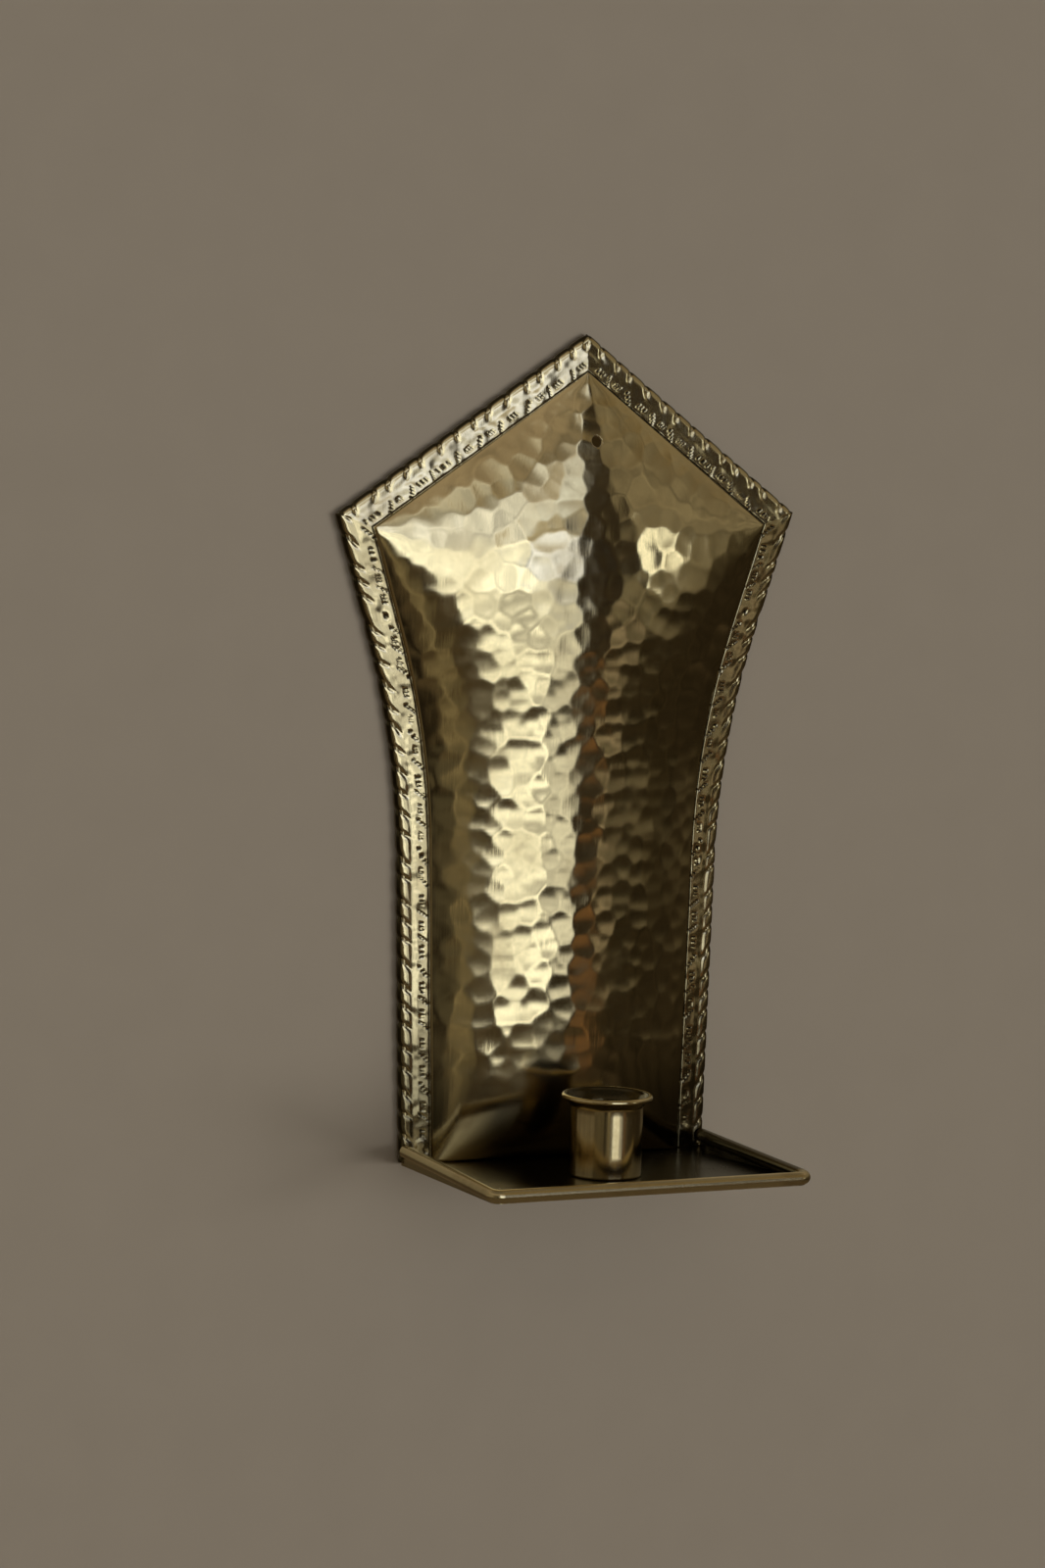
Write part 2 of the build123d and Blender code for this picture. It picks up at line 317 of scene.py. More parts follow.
class FinishSettings(bpy.types.PropertyGroup):
    """Colours of the brass."""

    brass: FloatVectorProperty(
        name="Brass", description="Polished brass", default=(0.80, 0.68, 0.40), subtype="COLOR"
    )
    tarnish: FloatVectorProperty(
        name="Tarnish", description="Brass that has dulled", default=(0.42, 0.30, 0.13), subtype="COLOR"
    )
    # One dark colour for the dirt in the marks and for painted shade: on the roll's flank, the
    # backplate's foot, in the tray and in the cup.
    dirt_and_shade: FloatVectorProperty(
        name="Dirt", description="Old polish and dirt in the marks", default=(0.035, 0.028, 0.014),
        subtype="COLOR",
    )


class StageSettings(bpy.types.PropertyGroup):
    """Floor, wall, lights and view."""

    wall: FloatVectorProperty(
        name="Wall", description="Colour of the wall", default=(0.345, 0.295, 0.230), subtype="COLOR"
    )
    floor: FloatVectorProperty(
        name="Floor", description="Colour of the floor", default=(0.72, 0.70, 0.66), subtype="COLOR"
    )
    turn: FloatProperty(
        name="Turn", description="How far the view turns to the right", default=math.radians(26.98),
        subtype="ANGLE",
    )
    tilt: FloatProperty(
        name="Tilt", description="How far the view looks down", default=math.radians(6.71),
        subtype="ANGLE",
    )
    roll: FloatProperty(
        name="Roll", description="How far the view leans", default=math.radians(1.91),
        subtype="ANGLE",
    )
    lens: FloatProperty(name="Lens", description="Focal length in millimetres", default=135.0)


# --------------------------------------------------------------------------- shapes


def inward(start, end):
    """Return the unit normal on the right of the line from start to end."""
    step = np.subtract(end, start)
    return np.array((step[1], -step[0])) / np.hypot(*step)


def inset_corners(inset):
    """Return the corners of the outline after its edges have all moved inward by inset."""
    normals = [inward(a, b) for a, b in zip(OUTLINE, OUTLINE[1:])]
    before = [normals[0], *normals]
    after = [*normals, normals[-1]]
    corners = []
    for corner, a, b in zip(OUTLINE, before, after):
        corners.append(np.add(corner, (a + b) * inset / (1 + a @ b)))
    return corners


def side_run(foot, waist, shoulder, count):
    """Return points up one side, round its waist, and their distance along it."""
    foot = waist + (foot - waist) * (PLATE_BASE_Z - waist[1]) / (foot[1] - waist[1])
    lower = (waist - foot) / np.hypot(*(waist - foot))
    upper = (shoulder - waist) / np.hypot(*(shoulder - waist))
    turn = math.acos(lower @ upper)
    cut = WAIST_RADIUS * math.tan(turn / 2)
    first = np.hypot(*(waist - foot)) - cut
    bend = WAIST_RADIUS * turn
    last = np.hypot(*(shoulder - waist)) - cut
    outward = np.array((-lower[1], lower[0])) * np.sign(lower[0] * upper[1] - lower[1] * upper[0])
    centre = waist - lower * cut + outward * WAIST_RADIUS
    along = np.linspace(0, first + bend + last, count)
    points = np.empty((count, 2))
    for i, s in enumerate(along):
        if s < first:
            points[i] = foot + lower * s
        elif s < first + bend:
            a = (s - first) / WAIST_RADIUS
            points[i] = centre - outward * WAIST_RADIUS * math.cos(a)
            points[i] += lower * WAIST_RADIUS * math.sin(a)
        else:
            points[i] = shoulder - upper * (first + bend + last - s)
    return points, along


def gable_run(shoulder, apex, origin, count):
    """Return points up one slope of the gable, and their distance along it from origin."""
    share = np.linspace(0, 1, count)[:, None]
    points = shoulder + (apex - shoulder) * share
    upward = (apex - shoulder) / np.hypot(*(apex - shoulder))
    return points, (points - origin) @ upward


def half_outline(inset, side, rows):
    """Return one half of the inset outline, from its foot to the apex, and distances along it."""
    corners = inset_corners(inset)
    whole = inset_corners(0)
    order = (0, 1, 2, 3) if side < 0 else (6, 5, 4, 3)
    foot, waist, shoulder, apex = (corners[i] for i in order)
    up, up_along = side_run(foot, waist, shoulder, rows[0] + 1)
    over, over_along = gable_run(shoulder, apex, whole[order[2]], rows[1] + 1)
    points = np.concatenate((up, over[1:]))
    along = np.concatenate((up_along, over_along[1:] + up_along[-1]))
    return points, along


def clamp(value):
    """Keep a number between 0 and 1."""
    return min(1.0, max(0.0, value))


def smooth(share):
    """Ease a share between 0 and 1 in and out."""
    return share * share * (3 - 2 * share)


def both(a, b):
    """Join two inward distances smoothly: positive only where both of them are."""
    return a + b - np.hypot(a, b)


def swell(distance):
    """Make an inward distance grow faster than the distance itself, away from its edge."""
    return distance * (1 + np.maximum(distance, 0) / PANEL_SWELL)


def side_x(foot, waist, shoulder, z, outward):
    """Return where one side of the panel lies at height z, with its waist eased to a curve."""
    lower = foot[0] + (waist[0] - foot[0]) * (z - foot[1]) / (waist[1] - foot[1])
    upper = waist[0] + (shoulder[0] - waist[0]) * (z - waist[1]) / (shoulder[1] - waist[1])
    return (lower + upper + outward * np.hypot(lower - upper, WAIST_EASE)) / 2


def panel_rise(x, z, settings):
    """Return how far the panel has swelled towards the room at each place on the plate."""
    foot_l, waist_l, shoulder_l, apex, shoulder_r, waist_r, foot_r = inset_corners(settings.border)
    left = side_x(foot_l, waist_l, shoulder_l, z, -1)
    right = side_x(foot_r, waist_r, shoulder_r, z, 1)
    sides = (x - left) * (right - x) / (right - left)
    spots = np.stack((x, z), -1)
    left_slope = (spots - shoulder_l) @ inward(shoulder_l, apex)
    right_slope = (spots - apex) @ inward(apex, shoulder_r)
    ends = both(swell(both(left_slope, right_slope)), swell(z - PANEL_FOOT_Z) * FOOT_STEEP)
    return np.maximum(settings.slope * both(sides, ends), 0)


def place(points, depth):
    """Return plate points, some depth in front of the wall, as places in the frame."""
    points = np.asarray(points)
    depth = np.broadcast_to(depth, points.shape[:-1])
    return np.stack((points[..., 0] + AXIS_X, WALL_Y - depth, points[..., 1] + BASE_Z), -1)


def grid_faces(rows, columns, wrap=False):
    """Return the quads of a grid of vertices laid out row by row."""
    faces = []
    for i in range(rows - 1):
        for j in range(columns if wrap else columns - 1):
            k = (j + 1) % columns
            low, high = i * columns, (i + 1) * columns
            faces.append((low + j, low + k, high + k, high + j))
    return faces


def make_object(name, verts, faces):
    """Return a new object at the origin with this mesh, linked to the scene."""
    mesh = bpy.data.meshes.new(name)
    mesh.from_pydata([tuple(v) for v in verts], [], faces)
    piece = bpy.data.objects.new(name, mesh)
    bpy.context.collection.objects.link(piece)
    return piece


def clean_mesh(piece, merge=True):
    """Turn every face outward, after doubled vertices are merged where that is asked for."""
    shape = bmesh.new()
    shape.from_mesh(piece.data)
    if merge:
        bmesh.ops.remove_doubles(shape, verts=shape.verts, dist=MERGE)
        bmesh.ops.dissolve_degenerate(shape, edges=shape.edges, dist=MERGE)
    bmesh.ops.recalc_face_normals(shape, faces=shape.faces)
    shape.to_mesh(piece.data)
    shape.free()
    piece.data.update()


def set_attribute(piece, name, values):
    """Store one number for each vertex of a piece."""
    layer = piece.data.attributes.new(name, "FLOAT", "POINT")
    layer.data.foreach_set("value", np.asarray(values, dtype=np.float32).ravel())


def apply_modifiers(piece):
    """Replace a piece's mesh with the one its modifiers make, and drop the modifiers."""
    graph = bpy.context.evaluated_depsgraph_get()
    mesh = bpy.data.meshes.new_from_object(piece.evaluated_get(graph), depsgraph=graph)
    mesh.name = piece.name
    piece.modifiers.clear()
    piece.data = mesh
    mesh.shade_smooth()


def run_tree(piece, tree, values):
    """Pass a piece through a node tree with these inputs."""
    modifier = piece.modifiers.new(tree.name, "NODES")
    modifier.node_group = tree
    for item in tree.interface.items_tree:
        if item.in_out == "INPUT" and item.name in values:
            modifier[item.identifier] = values[item.name]
    apply_modifiers(piece)


def finish_piece(piece, slot, *nodes):
    """Let a piece ride on the frame in place of these nodes."""
    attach(piece, "root")
    if nodes:
        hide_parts(*nodes)


# --------------------------------------------------------------------------- node helpers


class Wiring:
    """Adds nodes to a tree and joins them, for shader trees and geometry trees alike."""

    def __init__(self, tree):
        self.tree = tree

    def node(self, kind, **settings):
        """Add a node and set its properties."""
        node = self.tree.nodes.new(kind)
        for name, value in settings.items():
            setattr(node, name, value)
        return node

    def join(self, value, socket):
        """Feed a socket from another socket, or give it a constant."""
        if isinstance(value, bpy.types.NodeSocket):
            self.tree.links.new(value, socket)
        else:
            socket.default_value = value

    def math(self, operation, a, b=0.0, c=0.0):
        """Return the result of one step of arithmetic."""
        node = self.node("ShaderNodeMath", operation=operation)
        for value, socket in zip((a, b, c), node.inputs):
            self.join(value, socket)
        return node.outputs[0]

    def ease(self, value, low, high):
        """Return 0 below low, 1 above high and a smooth rise between."""
        node = self.node("ShaderNodeMapRange", interpolation_type="SMOOTHSTEP")
        for number, socket in zip((value, low, high, 0.0, 1.0), node.inputs):
            self.join(number, socket)
        return node.outputs[0]

    def past(self, value, line, gaps):
        """Return 0 up to the first gap beyond a line and 1 from the second on."""
        return self.ease(value, line + gaps[0], line + gaps[1])

    def near(self, value, target, reach, soft):
        """Return 1 where value is within reach of target, easing to 0 over soft."""
        gap = self.math("ABSOLUTE", self.math("SUBTRACT", value, target))
        return self.math("SUBTRACT", 1.0, self.ease(gap, reach - soft / 2, reach + soft / 2))

    def noise(self, where, scale, detail, kind="3D"):
        """Return a noise texture's node, read at a place or, in one dimension, at a distance."""
        node = self.node("ShaderNodeTexNoise", noise_dimensions=kind)
        self.join(where, node.inputs["W" if kind == "1D" else "Vector"])
        node.inputs["Scale"].default_value = scale
        node.inputs["Detail"].default_value = detail
        return node

    def mix(self, factor, a, b):
        """Return a colour between a and b."""
        node = self.node("ShaderNodeMix", data_type="RGBA")
        for value, name in ((factor, "Factor"), (a, "A"), (b, "B")):
            self.join(value, node.inputs[name])
        return node.outputs["Result"]

    def own_place(self):
        """Return the place on the piece, in its own coordinates."""
        return self.node("ShaderNodeTexCoord").outputs["Object"]

    def split(self, vector):
        """Return the three parts of a vector."""
        node = self.node("ShaderNodeSeparateXYZ")
        self.join(vector, node.inputs[0])
        return tuple(node.outputs)

    def attribute(self, name):
        """Return a number stored on the piece's vertices."""
        if self.tree.bl_idname == "GeometryNodeTree":
            node = self.node("GeometryNodeInputNamedAttribute", data_type="FLOAT")
            node.inputs["Name"].default_value = name
            return node.outputs["Attribute"]
        return self.node("ShaderNodeAttribute", attribute_name=name).outputs["Fac"]


def new_geometry_tree(name, inputs):
    """Return a geometry tree that takes a mesh and these named inputs, with its wiring."""
    tree = bpy.data.node_groups.new(name, "GeometryNodeTree")
    tree.interface.new_socket("Geometry", in_out="INPUT", socket_type="NodeSocketGeometry")
    for label, default in inputs.items():
        kind = "NodeSocketMaterial" if default is None else "NodeSocketFloat"
        socket = tree.interface.new_socket(label, in_out="INPUT", socket_type=kind)
        if default is not None:
            socket.default_value = default
    tree.interface.new_socket("Geometry", in_out="OUTPUT", socket_type="NodeSocketGeometry")
    wiring = Wiring(tree)
    source = wiring.node("NodeGroupInput")
    return tree, wiring, source


def end_geometry_tree(wiring, geometry, material):
    """Realize what the tree has made, give it its material and put it out."""
    realize = wiring.node("GeometryNodeRealizeInstances")
    coat = wiring.node("GeometryNodeSetMaterial")
    output = wiring.node("NodeGroupOutput")
    wiring.join(geometry, realize.inputs[0])
    wiring.join(realize.outputs[0], coat.inputs["Geometry"])
    wiring.join(material, coat.inputs["Material"])
    wiring.join(coat.outputs[0], output.inputs[0])


def push_out(wiring, geometry, height):
    """Move each vertex out along its normal by height."""
    normal = wiring.node("GeometryNodeInputNormal").outputs[0]
    scale = wiring.node("ShaderNodeVectorMath", operation="SCALE")
    wiring.join(normal, scale.inputs[0])
    wiring.join(height, scale.inputs["Scale"])
    move = wiring.node("GeometryNodeSetPosition")
    wiring.join(geometry, move.inputs["Geometry"])
    wiring.join(scale.outputs[0], move.inputs["Offset"])
    return move.outputs[0]


def flat_position(wiring, position):
    """Return a position as seen from the front: across and up, with no depth."""
    x, _, z = wiring.split(position)
    merge = wiring.node("ShaderNodeCombineXYZ")
    wiring.join(x, merge.inputs[0])
    wiring.join(z, merge.inputs[1])
    return merge.outputs[0]


# --------------------------------------------------------------------------- node trees


def unsteady(wiring, along, reach):
    """Return a distance along the edge, shifted a little as by a hand that isn't quite steady."""
    drift = wiring.noise(along, *HAND_NOISE, kind="1D")
    return wiring.math("MULTIPLY_ADD", drift.outputs[0], reach, along)


def punch_mask(wiring, along, across, pitch):
    """Return 1 in the punched lines: three in a row, then four that step in to the panel."""
    along = unsteady(wiring, along, PUNCH_DRIFT)
    turn = wiring.math("FRACT", wiring.math("DIVIDE", along, pitch))
    local = wiring.math("MULTIPLY", wiring.math("SUBTRACT", turn, 0.5), pitch)
    marks_and_shade = [punched_line(wiring, local, across, step, LINE_INSET, LINE_HALF) for step in LINES]
    turn = wiring.math("FRACT", wiring.math("ADD", turn, 0.5))
    local = wiring.math("MULTIPLY", wiring.math("SUBTRACT", turn, 0.5), pitch)
    marks_and_shade += [punched_line(wiring, local, across, step, inset, STAIR_HALF) for step, inset in STAIRS]
    mask = marks_and_shade[0]
    for mark in marks_and_shade[1:]:
        mask = wiring.math("MAXIMUM", mask, mark)
    return mask


def notch_mask(wiring, along, across, pitch):
    """Return 1 in the leaning notches between the facets of the rolled edge."""
    lean = wiring.math("MULTIPLY", across, CUT_LEAN)
    turn = wiring.math("ADD", unsteady(wiring, along, CUT_DRIFT), lean)
    turn = wiring.math("FRACT", wiring.math("DIVIDE", turn, pitch))
    lobe = wiring.math("ABSOLUTE", wiring.math("MULTIPLY_ADD", turn, 2.0, -1.0))
    return wiring.math("POWER", lobe, CUT_SHARPNESS)


def punched_line(wiring, along, across, centre_along, centre_across, half_length):
    """Return 1 inside one short line across the border."""
    wide = wiring.near(along, centre_along, LINE_WIDTH, LINE_SOFT)
    long = wiring.near(across, centre_across, half_length, LINE_END_SOFT)
    return wiring.math("MULTIPLY", wide, long)


def hammer_tree():
    """Return the tree that planishes the panel: shallow dishes, on a gently uneven sheet."""
    inputs = {"Face": 0.0056, "Depth": 0.00016, "Unevenness": 0.00022, "Seed": 3.0, "Material": None}
    tree, wiring, source = new_geometry_tree("hammer_marks", inputs)
    flat = flat_position(wiring, wiring.node("GeometryNodeInputPosition").outputs[0])
    cells = wiring.node("ShaderNodeTexVoronoi", voronoi_dimensions="3D", feature="SMOOTH_F1")
    cells.inputs["Smoothness"].default_value = 0.25
    shift = wiring.node("ShaderNodeVectorMath", operation="ADD")
    depth_axis = wiring.node("ShaderNodeCombineXYZ")
    layer = wiring.math("MULTIPLY", source.outputs["Seed"], source.outputs["Face"])
    wiring.join(layer, depth_axis.inputs[2])
    wiring.join(flat, shift.inputs[0])
    wiring.join(depth_axis.outputs[0], shift.inputs[1])
    wiring.join(shift.outputs[0], cells.inputs["Vector"])
    wiring.join(wiring.math("DIVIDE", 1.0, source.outputs["Face"]), cells.inputs["Scale"])
    cells.inputs["Randomness"].default_value = 0.9
    reach = cells.outputs["Distance"]
    dish = wiring.math("MULTIPLY", wiring.math("MULTIPLY", reach, reach), 3.0)
    dish = wiring.math("MULTIPLY", wiring.math("SUBTRACT", dish, 0.9), source.outputs["Depth"])
    waves = wiring.noise(shift.outputs[0], *SHEET_NOISE)
    wave = wiring.math("SUBTRACT", waves.outputs[0], 0.5)
    wave = wiring.math("MULTIPLY", wave, source.outputs["Unevenness"])
    height = wiring.math("MULTIPLY", wiring.math("ADD", dish, wave), wiring.attribute("worked"))
    moved = push_out(wiring, source.outputs["Geometry"], height)
    end_geometry_tree(wiring, moved, source.outputs["Material"])
    return tree


def edge_tree():
    """Return the tree that cuts the rolled edge into leaning facets and punches the border."""
    inputs = {"Facet": 0.007, "Facet Depth": 0.0005, "Punch": 0.01, "Punch Depth": 0.00025,
              "Seed": 5.0, "Material": None}
    tree, wiring, source = new_geometry_tree("edge_facets", inputs)
    along = wiring.attribute("along")
    across = wiring.attribute("across")
    lobe = notch_mask(wiring, along, across, source.outputs["Facet"])
    cut = wiring.math("MULTIPLY", lobe, source.outputs["Facet Depth"])
    cut = wiring.math("MULTIPLY", cut, wiring.attribute("roll"))
    mask = punch_mask(wiring, along, across, source.outputs["Punch"])
    mask = wiring.math("MULTIPLY", mask, wiring.attribute("front"))
    sink = wiring.math("MULTIPLY", mask, source.outputs["Punch Depth"])
    position = wiring.node("GeometryNodeInputPosition").outputs[0]
    waves = wiring.noise(position, *BORDER_NOISE, kind="4D")
    wiring.join(source.outputs["Seed"], waves.inputs["W"])
    wave = wiring.math("SUBTRACT", waves.outputs[0], WAVE_MIDDLE)
    wave = wiring.math("MULTIPLY", wave, WAVE_HEIGHT)
    wave = wiring.math("MULTIPLY", wave, wiring.attribute("front"))
    height = wiring.math("SUBTRACT", wave, wiring.math("ADD", cut, sink))
    moved = push_out(wiring, source.outputs["Geometry"], height)
    end_geometry_tree(wiring, moved, source.outputs["Material"])
    return tree


# --------------------------------------------------------------------------- materials


def brass_material(name, finish, dullness, rough, marks_and_shade=None, shade=1.0):
    """Return worked brass: drifting tarnish, fine scratches, and one dark colour for dirt and painted
    shade where the given mask is 1.
    """
    material = bpy.data.materials.new(name)
    material.use_nodes = True
    tree = material.node_tree
    tree.nodes.clear()
    wiring = Wiring(tree)
    shader = wiring.node("ShaderNodeBsdfPrincipled")
    output = wiring.node("ShaderNodeOutputMaterial")
    wiring.join(shader.outputs[0], output.inputs["Surface"])
    shader.inputs["Metallic"].default_value = 1.0
    where = wiring.own_place()
    blotch = wiring.noise(where, *TARNISH_NOISE)
    blotch.inputs["Roughness"].default_value = 0.6
    grain = wiring.noise(where, *GRAIN_NOISE)
    dull = wiring.math("MULTIPLY", wiring.ease(blotch.outputs[0], 0.42, 0.78), dullness)
    bright = (*[c * shade for c in finish.brass], 1)
    tarnished = (*[c * shade for c in finish.tarnish], 1)
    colour = wiring.mix(dull, bright, tarnished)
    if marks_and_shade:
        # Dirt and painted shade share this one dark colour.
        colour = wiring.mix(marks_and_shade(wiring), colour, (*finish.dirt_and_shade, 1))
    wiring.join(colour, shader.inputs["Base Color"])
    spread = wiring.math("MULTIPLY", wiring.math("SUBTRACT", grain.outputs[0], 0.5), GRAIN_ROUGH)
    cloud = wiring.math("MULTIPLY", wiring.ease(blotch.outputs[0], 0.40, 0.75), CLOUD_ROUGH)
    roughness = wiring.math("ADD", wiring.math("ADD", spread, cloud), rough)
    wiring.join(roughness, shader.inputs["Roughness"])
    bump = wiring.node("ShaderNodeBump")
    bump.inputs["Strength"].default_value = SCRATCH_STRENGTH
    bump.inputs["Distance"].default_value = SCRATCH_DEPTH
    wiring.join(scratches(wiring, where), bump.inputs["Height"])
    wiring.join(bump.outputs[0], shader.inputs["Normal"])
    return material


def scratches(wiring, where):
    """Return the height of fine polishing scratches that run mostly up and down."""
    stretch = wiring.node("ShaderNodeMapping")
    stretch.inputs["Scale"].default_value = SCRATCH_STRETCH
    stretch.inputs["Rotation"].default_value = SCRATCH_LEAN
    wiring.join(where, stretch.inputs["Vector"])
    return wiring.noise(stretch.outputs[0], *SCRATCH_NOISE).outputs[0]


def border_dirt_and_shade(pitch, facet):
    """Return a mask for the dirt in the border's punched lines and chased groove, with painted shade on
    the roll's outer flank and notches and on the foot by the tray.
    """

    def mask(wiring):
        along = wiring.attribute("along")
        across = wiring.attribute("across")
        front = wiring.attribute("front")
        lines = wiring.math("MULTIPLY", punch_mask(wiring, along, across, pitch), front)
        groove = wiring.math("MULTIPLY", wiring.near(across, *CHASED_DIRT), front)
        # Painted shade on the roll's outer flank, reaching further in at the notches between facets.
        notch = notch_mask(wiring, along, across, facet)
        reach = wiring.math("MULTIPLY_ADD", notch, *EDGE_FLANK_SHADE_REACH)
        flank_shade = wiring.math("SUBTRACT", reach, across)
        flank_shade = wiring.math("MULTIPLY", wiring.ease(flank_shade, -0.0003, 0.0004), EDGE_FLANK_SHADE)
        # From here groove holds the chased dirt and the painted flank shade together.
        groove = wiring.math("MAXIMUM", groove, flank_shade)
        lines = wiring.math("MAXIMUM", wiring.math("MULTIPLY", lines, LINE_DIRT), groove)
        # Painted shade on the border's foot, by the tray.
        foot_shade = wiring.math("MULTIPLY", painted_foot_shade(wiring, BORDER_FOOT_SHADE), BORDER_FOOT_SHADE_SHARE)
        return wiring.math("MAXIMUM", lines, foot_shade)

    return mask


def painted_foot_shade(wiring, heights=PANEL_FOOT_SHADE):
    """Return a mask for painted shade on the foot of the backplate by the tray, between two heights."""
    _, _, z = wiring.split(wiring.own_place())
    low = wiring.math("SUBTRACT", 1.0, wiring.past(z, BASE_Z, heights))
    return wiring.math("MULTIPLY", low, FOOT_SHADE_STRENGTH)


def tray_painted_shade(wiring):
    """Return a mask for painted shade inside the tray, lighter towards its left front corner as a
    painted reflection.
    """
    x, y, z = wiring.split(wiring.own_place())
    left, front, right = TRAY_LOW[0], TRAY_LOW[1], TRAY_HIGH[0]
    floor = wiring.math("SUBTRACT", 1.0, wiring.past(z, BASE_Z, FLOOR_SHADE_TOP))
    left_lift = wiring.math("SUBTRACT", 1.0, wiring.past(x, left, LEFT_LIFT_REACH))
    floor = wiring.math("MULTIPLY", floor, wiring.math("MULTIPLY_ADD", left_lift, LEFT_FLOOR_LIFT, FLOOR_SHADE))
    floor = wiring.math("MULTIPLY", floor, wiring.past(y, front, FLOOR_SHADE_FRONT))
    flared = wiring.math("MULTIPLY_ADD", wiring.math("SUBTRACT", y, front), TRAY_FLARE, x)
    wall = wiring.past(flared, right, RIGHT_WALL_SHADE_REACH)
    wall = wiring.math("MULTIPLY", wall, wiring.past(y, front, RIGHT_WALL_SHADE_FRONT))
    return wiring.math("MAXIMUM", floor, wiring.math("MULTIPLY", wall, RIGHT_WALL_SHADE))


def cup_painted_shade(wiring):
    """Return a mask for painted shade inside the cup."""
    return wiring.math("MULTIPLY", wiring.attribute("inside"), CUP_SHADE)


# --------------------------------------------------------------------------- pieces


def border_profile(settings):
    """Return the border's section as inset, depth, roll share and front share, all the way round."""
    sheet_front = BORDER_BACK + settings.sheet
    front = [(settings.border, PANEL_STEP, 0.0, 0.0)]
    front += [(inset, rise, 0.0, flat) for inset, rise, flat in CHASED_LINE]
    for inset in np.arange(*BAND_INSETS):
        roll = clamp((ROLL_BLEND[0] - inset) / ROLL_BLEND[1])
        flat = clamp((inset - FRONT_BLEND[0]) / FRONT_BLEND[1])
        front.append((inset, band_rise(inset), roll, flat))
    front += [(inset, band_rise(inset) - drop, 1.0, EDGE_TURN_FRONT) for inset, drop in EDGE_TURN]
    section = [(inset, sheet_front + rise, roll, flat) for inset, rise, roll, flat in front]
    start, end = ROLL_ARC
    for i in range(ROLL_STEPS):
        a = math.radians(start + (end - start) * i / (ROLL_STEPS - 1))
        inset = settings.roll + settings.roll * math.cos(a)
        depth = max(ROLL_DEPTH + settings.roll * math.sin(a), 0.0)
        section.append((inset, depth, clamp((CUT_END - a) / CUT_FADE), 0.0))
    section += [(inset, BORDER_BACK - drop, 0.0, 0.0) for inset, drop in FLAT_BACK]
    section.append((settings.border, BORDER_BACK, 0.0, 0.0))
    return section


def band_rise(inset):
    """Return how far the band stands off the sheet's front at this inset."""
    return BAND_RISE - BAND_FALL * (BAND_START - inset)


def rivet_cover(points):
    """Return 1 over the flush rivets at the foot of the border, easing to 0 round them."""
    cover = np.zeros(len(points))
    for rivet in RIVETS:
        cover += np.exp(-(np.hypot(*(points - rivet).T) / RIVET_REACH) ** 4)
    return cover


def make_border(settings, material):
    """Rolled edge, trough, punched band and chased line, from one foot up and over to the other."""
    section = border_profile(settings)
    rows = (EDGE_STEPS, EDGE_STEPS // 2)
    rings = []
    for inset, depth, roll, front in section:
        left, left_along = half_outline(inset, -1, rows)
        right, right_along = half_outline(inset, 1, rows)
        points = np.concatenate((left, right[-2::-1]))
        along = np.concatenate((left_along, right_along[-2::-1]))
        cover = rivet_cover(points)
        groove = GROOVE_DEPTH * math.exp(-((inset - GROOVE_INSET) / GROOVE_WIDTH) ** 2)
        sink = groove * np.clip((GROOVE_TOP - points[:, 1]) / GROOVE_FADE, GROOVE_LEAST, 1)
        depth = depth + (RIVET_RISE * cover - sink if front > 0 else 0)
        rings.append((place(points, depth), along, inset, roll, front * (1 - cover)))
    count = len(rings[0][1])
    verts = np.stack([ring[0] for ring in rings], 1).reshape(-1, 3)
    width = len(section)
    faces = grid_faces(count, width, wrap=True)
    faces.append(tuple(range(width)))
    faces.append(tuple((count - 1) * width + j for j in reversed(range(width))))
    piece = make_object("backplate_border", verts, faces)
    for i, name in enumerate(("along", "across", "roll", "front"), 1):
        columns = [np.broadcast_to(ring[i], count) for ring in rings]
        set_attribute(piece, name, np.stack(columns, 1))
    clean_mesh(piece, merge=False)
    values = {"Facet": settings.facet, "Facet Depth": settings.facet_depth,
              "Punch": settings.punch, "Punch Depth": settings.punch_depth, "Material": material}
    run_tree(piece, edge_tree(), values)
    return piece


def panel_front(settings):
    """Return the panel's front as a grid of places, and how fully each is hammered."""
    left, _ = half_outline(settings.border, -1, PANEL_ROWS)
    right, _ = half_outline(settings.border, 1, PANEL_ROWS)
    share = np.linspace(0, 1, PANEL_COLUMNS + 1)[None, :, None]
    points = left[:, None, :] * (1 - share) + right[:, None, :] * share
    rise = panel_rise(points[..., 0], points[..., 1], settings)
    depth = BORDER_BACK + settings.sheet + PANEL_STEP + rise
    edge = np.minimum(rise / (settings.slope * WORKED_EDGE), 1)
    foot = np.clip((points[..., 1] - WORKED_FOOT) / WORKED_FADE, 0, 1)
    return place(points, depth), smooth(edge) * smooth(foot)


def cut_hole(piece, radius, settings):
    """Punch the hanging hole, square to the sloping panel."""
    x, z = HOLE
    across = panel_rise(np.array([x + radius, x - radius]), np.array([z, z]), settings)
    up = panel_rise(np.array([x, x]), np.array([z + radius, z - radius]), settings)
    outward = Vector((-(across[0] - across[1]), -2 * radius, -(up[0] - up[1]))).normalized()
    shape = bmesh.new()
    bmesh.ops.create_cone(
        shape, segments=48, radius1=radius, radius2=radius, depth=PUNCH_LENGTH, cap_ends=True
    )
    shape.transform(outward.to_track_quat("Z", "Y").to_matrix().to_4x4())
    mesh = bpy.data.meshes.new("punch")
    shape.to_mesh(mesh)
    shape.free()
    punch = bpy.data.objects.new("punch", mesh)
    bpy.context.collection.objects.link(punch)
    modifier = piece.modifiers.new("hole", "BOOLEAN")
    modifier.operation = "DIFFERENCE"
    modifier.solver = "EXACT"
    modifier.object = punch
    apply_modifiers(piece)
    bpy.data.objects.remove(punch)


